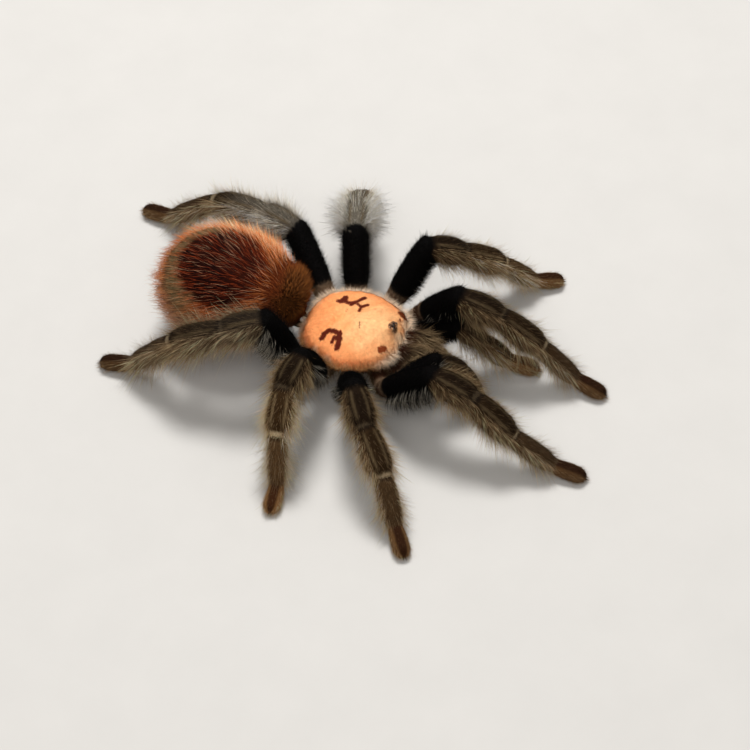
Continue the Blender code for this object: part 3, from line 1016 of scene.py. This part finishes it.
def lay_abdomen_fur(coat, surface):
    rng = coat.rng
    roots, normals = surface.roots(rng, ABDOMEN, per_mm2=13.0)
    front, saddle, rim, _ = abdomen_zones(roots)
    lie = abdomen_lie(roots, normals, 0.12, 11)
    base, tips = abdomen_markings(roots)
    golden = picked(rng, roots, 0.25) * front
    over_plate = front * ramp(roots[:, 2], CARAPACE_HIGH[2] - 1.5 * MM, CARAPACE_HIGH[2] + 0.8 * MM)
    tips = tips * (1 - 0.15 * front + 0.8 * golden)[:, None]
    coat.add(
        SHORT_HAIR,
        roots - normals * 0.1 * MM,
        lifted(lie, normals, 30 + 22 * front + 18 * over_plate + rng.uniform(-12, 14, len(roots))),
        lie + normals * over_plate[:, None],
        ((1.4 - 0.2 * saddle + 0.5 * rim + 0.2 * golden + 1.0 * over_plate) * MM, 0.35),
        (0.2 * MM, 0.3),
        (base, 0.3),
        (tips, 0.4),
        abdomen_unwrap(roots),
    )


def lay_abdomen_hairs(coat, surface):
    def density(points):
        front, saddle, rim, low = abdomen_zones(points)
        spread = (1 - 0.8 * saddle - 0.8 * rim) * (1 - front) * (1 - 0.3 * low)
        spread = spread * ramp(norm(points - SPINNERETS_MIDDLE), 3 * MM, 6 * MM)
        return spread * ramp(abdomen_share(points)[:, 1], -0.75, -0.5)

    rng = coat.rng
    roots, normals = surface.roots(rng, ABDOMEN, per_mm2=7.0, density=density)
    _, saddle, rim, low = abdomen_zones(roots)
    lie = abdomen_lie(roots, normals, 0.16, 12)
    lie = flattened(lie + rng.normal(0, 0.15, lie.shape), normals)
    mixed = rng.random(len(roots))
    raised = picked(rng, roots, 0.35)
    tips = blend(ABDOMEN_RUST, SADDLE_HAIR, saddle)
    across, _, height = abdomen_share(roots).T
    # Painted backlight: the long hairs on the far upper side are made pinker and brighter.
    far = ramp(across, 0.0, 0.6) * ramp(height, 0.1, 0.6)
    tips = blend(tips, ABDOMEN_PINK, ramp(mixed + saddle * 0.12 + far * 0.25, 0.7, 1.0))
    tips = blend(blend(tips, ABDOMEN_SIDE, low * 0.7), ABDOMEN_OLIVE, rim * 0.6)
    tips = tips * (1 + 0.9 * far)[:, None]
    coat.add(
        BENT_HAIR,
        roots - normals * 0.2 * MM,
        lifted(lie, normals, 36 - 8 * saddle + rng.uniform(-16, 18, len(roots))),
        lie - UP * (0.05 + 0.3 * low[:, None]) + normals * 0.7 * raised[:, None],
        ((4.8 - 1.0 * saddle) * MM, 0.35),
        ((0.065 - 0.018 * saddle) * MM, 0.25),
        (tips * 0.4, 0.4),
        (tips, 0.45),
        abdomen_unwrap(roots),
    )


def clothe_abdomen(surface, material):
    rng = np.random.default_rng(7)
    for length, lay in (("short", lay_abdomen_fur), ("long", lay_abdomen_hairs)):
        coat = Coat(f"coat_abdomen_{length}", rng, 1)
        lay(coat, surface)
        coat.build(material)


# -- underside, jaws, spinnerets


def clothe_trunk(surface, material):
    rng = np.random.default_rng(8)
    coat = Coat("coat_jaws_and_underside", rng, 6)
    forward = (0, -1.0, -0.35)
    # Region, way of the lie, hairs to the mm2, length, width, wander, shape, lean, share of pale hair.
    for region, lie_to, count, length, width, swing, shape, lean, pale in (
        (CHELICERA, forward, 20.0, 1.1, 0.13, 0.15, SHORT_HAIR, 36, 0.0),
        (CHELICERA, forward, 12.0, 4.2, 0.065, 0.3, BENT_HAIR, 54, 0.95),
        (UNDERSIDE, REAR, 9.0, 1.0, 0.2, 0.2, SHORT_HAIR, 30, 0.0),
        (SPINNERET, REAR, 18.0, 0.7, 0.13, 0.15, SHORT_HAIR, 30, 0.0),
    ):
        roots, normals = surface.roots(rng, region, count)
        lie = flattened(lie_to + wander(roots, 5 * MM, region) * swing, normals)
        base, tips = coat_markings(region, roots)
        near = near_plate(roots) * (region == CHELICERA)
        tips = blend(tips, CHELICERA_HAIR, pale * (1 - 0.8 * near))
        flat = (roots - CARAPACE_MIDDLE)[:, :2] / (60 * MM) + 0.5
        coat.add(
            shape,
            roots - normals * 0.08 * MM,
            lifted(lie, normals, lean + rng.uniform(-12, 14, len(roots))),
            lie,
            (length * MM * (1 - 0.5 * near), 0.35),
            (width * MM, 0.3),
            (base, 0.3),
            (tips, 0.6),
            np.clip(flat, 0, 1),
        )
    coat.build(material)


# -- carapace


FOVEA_OFFSET = np.array([0.0, 3.0]) * MM
GROOVE_ANGLES = np.radians([28, 62, 100, 138])
HEAD_SWELL_REACH = np.array([4.0, 3.5]) * MM
MOUND_CROWN = MOUND_MIDDLE[2] + 0.15 * MM


def outlined(points):
    """Makes the plate's oval outline flatter behind, with fuller corners there and beside the head."""
    flat = (points - CARAPACE_MIDDLE)[:, :2]
    angle = np.arctan2(np.abs(flat[:, 0]), flat[:, 1])
    share = 0.03 * bell(angle - 0.85, 0.3) - 0.05 * bell(angle, 0.4)
    share = share + (0.02 + 0.06 * (flat[:, 0] > 0)) * bell(angle - 2.45, 0.28)
    outer = ramp(norm(flat), 8 * MM, 12 * MM)
    share = share + 0.012 * wander(points, 5 * MM, 24)[:, 0] * outer
    moved = points.copy()
    moved[:, :2] += flat * share[:, None]
    return moved


def carve(points):
    """Lowers the plate along the shallow grooves that fan out from the fovea, and raises it in a swell
    round the eye mound.
    """
    flat = (points - CARAPACE_MIDDLE)[:, :2] - FOVEA_OFFSET
    reach = norm(flat)
    angle = np.arctan2(np.abs(flat[:, 0]), flat[:, 1])
    away = np.abs(angle[:, None] - GROOVE_ANGLES).min(1) * reach
    groove = bell(away, 0.6 * MM) * ramp(reach, 1.5 * MM, 3.5 * MM)
    groove = groove * fall(reach, 8.5 * MM, 11 * MM)
    above = ramp(points[:, 2], CARAPACE_MIDDLE[2] - 0.5 * MM, CARAPACE_MIDDLE[2] + 1.5 * MM)
    head = (points - MOUND_MIDDLE)[:, :2] / HEAD_SWELL_REACH
    swell = np.exp(-(head**2).sum(1)) * 0.8 * MM
    return (groove * 0.25 * MM - swell) * above


def build_carapace():
    bm = joined(("carapace", "eye_mound"), 0.12 * MM)
    mesh = one_surface(bm, "carapace_plate", PLATE_VOXEL, rounds=24)
    points = places_of(mesh)
    points = outlined(points - normals_of(mesh) * 0.4 * MM - UP * carve(points)[:, None])
    on_mound = fall(norm((points - MOUND_MIDDLE)[:, :2]), 1.5 * MM, 2.6 * MM)
    points[:, 2] -= np.maximum(points[:, 2] - MOUND_CROWN, 0) * 0.5 * on_mound
    move_to(mesh, points)
    roots, tips = carapace_markings(points)
    paint(mesh, roots * 0.5 + tips * 0.5)
    material = napped_material("carapace velvet", roughness=0.75, grain=5200.0, strength=0.3)
    piece = new_piece("carapace_plate", mesh, material)
    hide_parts("carapace", "eye_mound")
    return Surface(mesh, np.zeros(len(points), int))


def plate_unwrap(points):
    return np.clip((points - CARAPACE_LOW)[:, :2] / (CARAPACE_HIGH - CARAPACE_LOW)[:2], 0, 1)


def lay_nap(coat, surface):
    def density(points):
        return ramp(points[:, 2], CARAPACE_LOW[2] + 0.3 * MM, CARAPACE_LOW[2] + 1.5 * MM) + 0.15

    rng = coat.rng
    roots, normals = surface.roots(rng, 0, per_mm2=44.0, density=density)
    away = roots - CARAPACE_MIDDLE - (*FOVEA_OFFSET, 0)
    lie = flattened(away * (1, 1, 0) + wander(roots, 6 * MM, 21) * 0.5 * MM, normals)
    base, tips = carapace_markings(roots)
    # Some nap hairs on the mound are pale: partly pale hair, partly painted eye glints.
    tips = blend(tips, MOUND_SPECKLE_AND_GLINT, picked(rng, roots, 0.2) * (mound_reach(roots) < 1.1))
    # Painted backlight: nap at the far edge turns cream, standing for hairs glowing with light from
    # behind and lifting their shaded sides.
    flat = plate_share(roots)[:, :2]
    edge = ramp(norm(flat), 0.8, 0.96)
    far = ramp(flat[:, 0], -0.6, 0.1)
    backlit_cream = ramp(edge, 0.4, 0.9) * far * 0.85
    base, tips = (mark_carapace(roots, blend(colours, RIM_CREAM, backlit_cream)) for colours in (base, tips))
    coat.add(
        SHORT_HAIR,
        roots - normals * 0.05 * MM,
        lifted(lie, normals, 14 + (20 - 14 * far) * edge + rng.uniform(-8, 12, len(roots))),
        lie,
        ((0.5 + (0.7 - 0.4 * far) * edge) * MM, 0.4),
        (0.09 * MM, 0.3),
        (base, 0.06),
        (tips, 0.07),
        plate_unwrap(roots),
    )


def lay_rim_hairs(coat, surface):
    def density(points):
        return fall(points[:, 2], CARAPACE_LOW[2] + 1.5 * MM, CARAPACE_LOW[2] + 2.7 * MM)

    rng = coat.rng
    roots, normals = surface.roots(rng, 0, per_mm2=24.0, density=density)
    outward = unit((roots - CARAPACE_MIDDLE) * (1, 1, 0))
    keep = (normals * outward).sum(1) > 0.2
    roots, normals, outward = roots[keep], normals[keep], outward[keep]
    far = ramp(roots[:, 0] - CARAPACE_MIDDLE[0], -8 * MM, 2 * MM)
    head = fall(roots[:, 1] - CARAPACE_LOW[1], 2 * MM, 6 * MM)
    # Partly the fringe's own cream and partly painted light: shaded gold on the near side, bright
    # backlit cream on the far side and head.
    pale = blend(RIM_SHADED_GOLD, RIM_CREAM, np.maximum(far, head))
    coat.add(
        BENT_HAIR,
        roots,
        outward + wander(roots, 2 * MM, 22) * 0.35 + UP * rng.uniform(-0.3, 0.6, (len(roots), 1)),
        outward - UP * 0.15 + wander(roots, 1 * MM, 23) * 0.3,
        ((1.3 + 0.5 * far + 0.6 * head) * MM, 0.5),
        (0.06 * MM, 0.3),
        (pale, 0.15),
        (pale, 0.15),
        plate_unwrap(roots),
    )


def clothe_carapace(surface, material):
    coat = Coat("coat_carapace", np.random.default_rng(9), 2)
    lay_nap(coat, surface)
    lay_rim_hairs(coat, surface)
    coat.build(material)


# -- eyes, fangs, claws


EYES = (  # across, forward and up from the middle of the mound, and the radius, in mm
    (0.42, 0.35, 1.2, 0.24),
    (0.98, 0.7, 0.9, 0.22),
    (1.08, -0.3, 0.9, 0.2),
    (0.62, -0.35, 1.2, 0.14),
)


def build_eyes(plate):
    bm = bmesh.new()
    tree = BVHTree.FromPolygons(plate.points.tolist(), plate.triangles.tolist())
    for side in SIDES.values():
        for across, forward, up, radius in EYES:
            guess = MOUND_MIDDLE + np.array([side * across, -forward, up]) * MM
            place = tree.find_nearest(Vector(guess))[0]
            made = bmesh.ops.create_uvsphere(bm, u_segments=24, v_segments=14, radius=radius * MM)
            bmesh.ops.translate(bm, verts=made["verts"], vec=place)
    mesh = mesh_from(bm, "eyes")
    mesh.shade_smooth()
    material = glossy_material("dark glassy eye", tone(14, 9, 7), roughness=0.08, coat=1.0)
    new_piece("eyes", mesh, material)


def build_fang(side):
    node = f"fang_{side}"
    name = node + "_horn"
    mesh = one_surface(joined((node,), 0.0), name, FANG_VOXEL, rounds=4)
    material = glossy_material("black fang horn", tone(22, 12, 9), roughness=0.25, coat=0.3)
    piece = new_piece(name, mesh, material)
    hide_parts(node)


CLAW_LENGTH = 1.1 * MM
CLAW_RADII = {"radius1": 0.16 * MM, "radius2": 0.02 * MM}
CLAW_SPREAD = 0.28  # in mm, from the middle of the tip to each claw


def build_claws(material):
    """A pair of small claws at the tip of each limb."""
    bm = bmesh.new()
    for limb in LIMBS:
        ahead = Vector(unit(limb.joints[-1] - limb.joints[-2]))
        across = ahead.cross(Vector(UP)).normalized()
        down = ahead.cross(across).normalized()
        if down.z > 0:
            down = -down
        turn = Matrix((across, down, ahead)).transposed().to_4x4()
        for offset in (-CLAW_SPREAD, CLAW_SPREAD):
            made = bmesh.ops.create_cone(bm, cap_ends=True, segments=8, depth=CLAW_LENGTH, **CLAW_RADII)
            place = Vector(limb.joints[-1]) + across * offset * MM
            bmesh.ops.transform(bm, matrix=Matrix.Translation(place) @ turn, verts=made["verts"])
    mesh = mesh_from(bm, "claws")
    mesh.shade_smooth()
    new_piece("claws", mesh, material)


# -- camera, light and floor


def aim(thing, target, azimuth, elevation, distance):
    """Puts a camera or a light round a target, facing it, with the angles in degrees."""
    azimuth, elevation = math.radians(azimuth), math.radians(elevation)
    level = math.cos(elevation)
    back = Vector((math.sin(azimuth) * level, -math.cos(azimuth) * level, math.sin(elevation)))
    thing.location = target + back * distance
    thing.rotation_euler = back.to_track_quat("Z", "Y").to_euler()


def place_camera():
    data = bpy.data.cameras.new("view")
    data.lens = CAMERA_LENS
    data.clip_start = 0.01
    camera = placed("view", data)
    target = Vector((*(CARAPACE_MIDDLE[:2] + CAMERA_AIM_OFFSET), 0.0))
    aim(camera, target, *CAMERA_PLACE)
    bpy.context.scene.camera = camera


def light_studio():
    for name, size, power, *place in LIGHTS:
        data = bpy.data.lights.new(name, "AREA")
        data.shape = "DISK"
        data.size = size
        data.energy = power
        aim(placed(name, data), Vector(), *place)
    world = bpy.data.worlds.new("studio")
    world.use_nodes = True
    tree = world.node_tree
    feed(tree, tree.nodes["Background"], {"Color": (1.0, 0.98, 0.95, 1), "Strength": 0.3})
    bpy.context.scene.world = world
    bpy.context.scene.view_settings.view_transform = "Standard"


def lay_floor():
    bm = bmesh.new()
    bmesh.ops.create_grid(bm, x_segments=1, y_segments=1, size=2.0)
    mesh = mesh_from(bm, "floor")
    material, tree, shader = new_material("pale floor", 0.85, 0.2)
    uneven(tree, shader, (0.6, 0.58, 0.55, 1), 0.04, 60.0)
    mesh.materials.append(material)
    floor = placed("floor", mesh)


def main():
    place_camera()
    light_studio()
    lay_floor()
    skin = build_skin()
    plate = build_carapace()
    hair = hair_material("limb hair", roughness=0.75, specular=0.06)
    for limb in LIMBS:
        clothe_limb(skin, limb, hair)
    clothe_trunk(skin, hair)
    clothe_abdomen(skin, hair_material("abdomen hair", roughness=0.7, specular=0.06))
    clothe_carapace(plate, hair_material("carapace nap", roughness=0.8, specular=0.1, swing=0.12))
    build_eyes(plate)
    for side in SIDES:
        build_fang(side)
    build_claws(glossy_material("dark claw horn", tone(30, 20, 14), roughness=0.3, coat=0.2))


main()
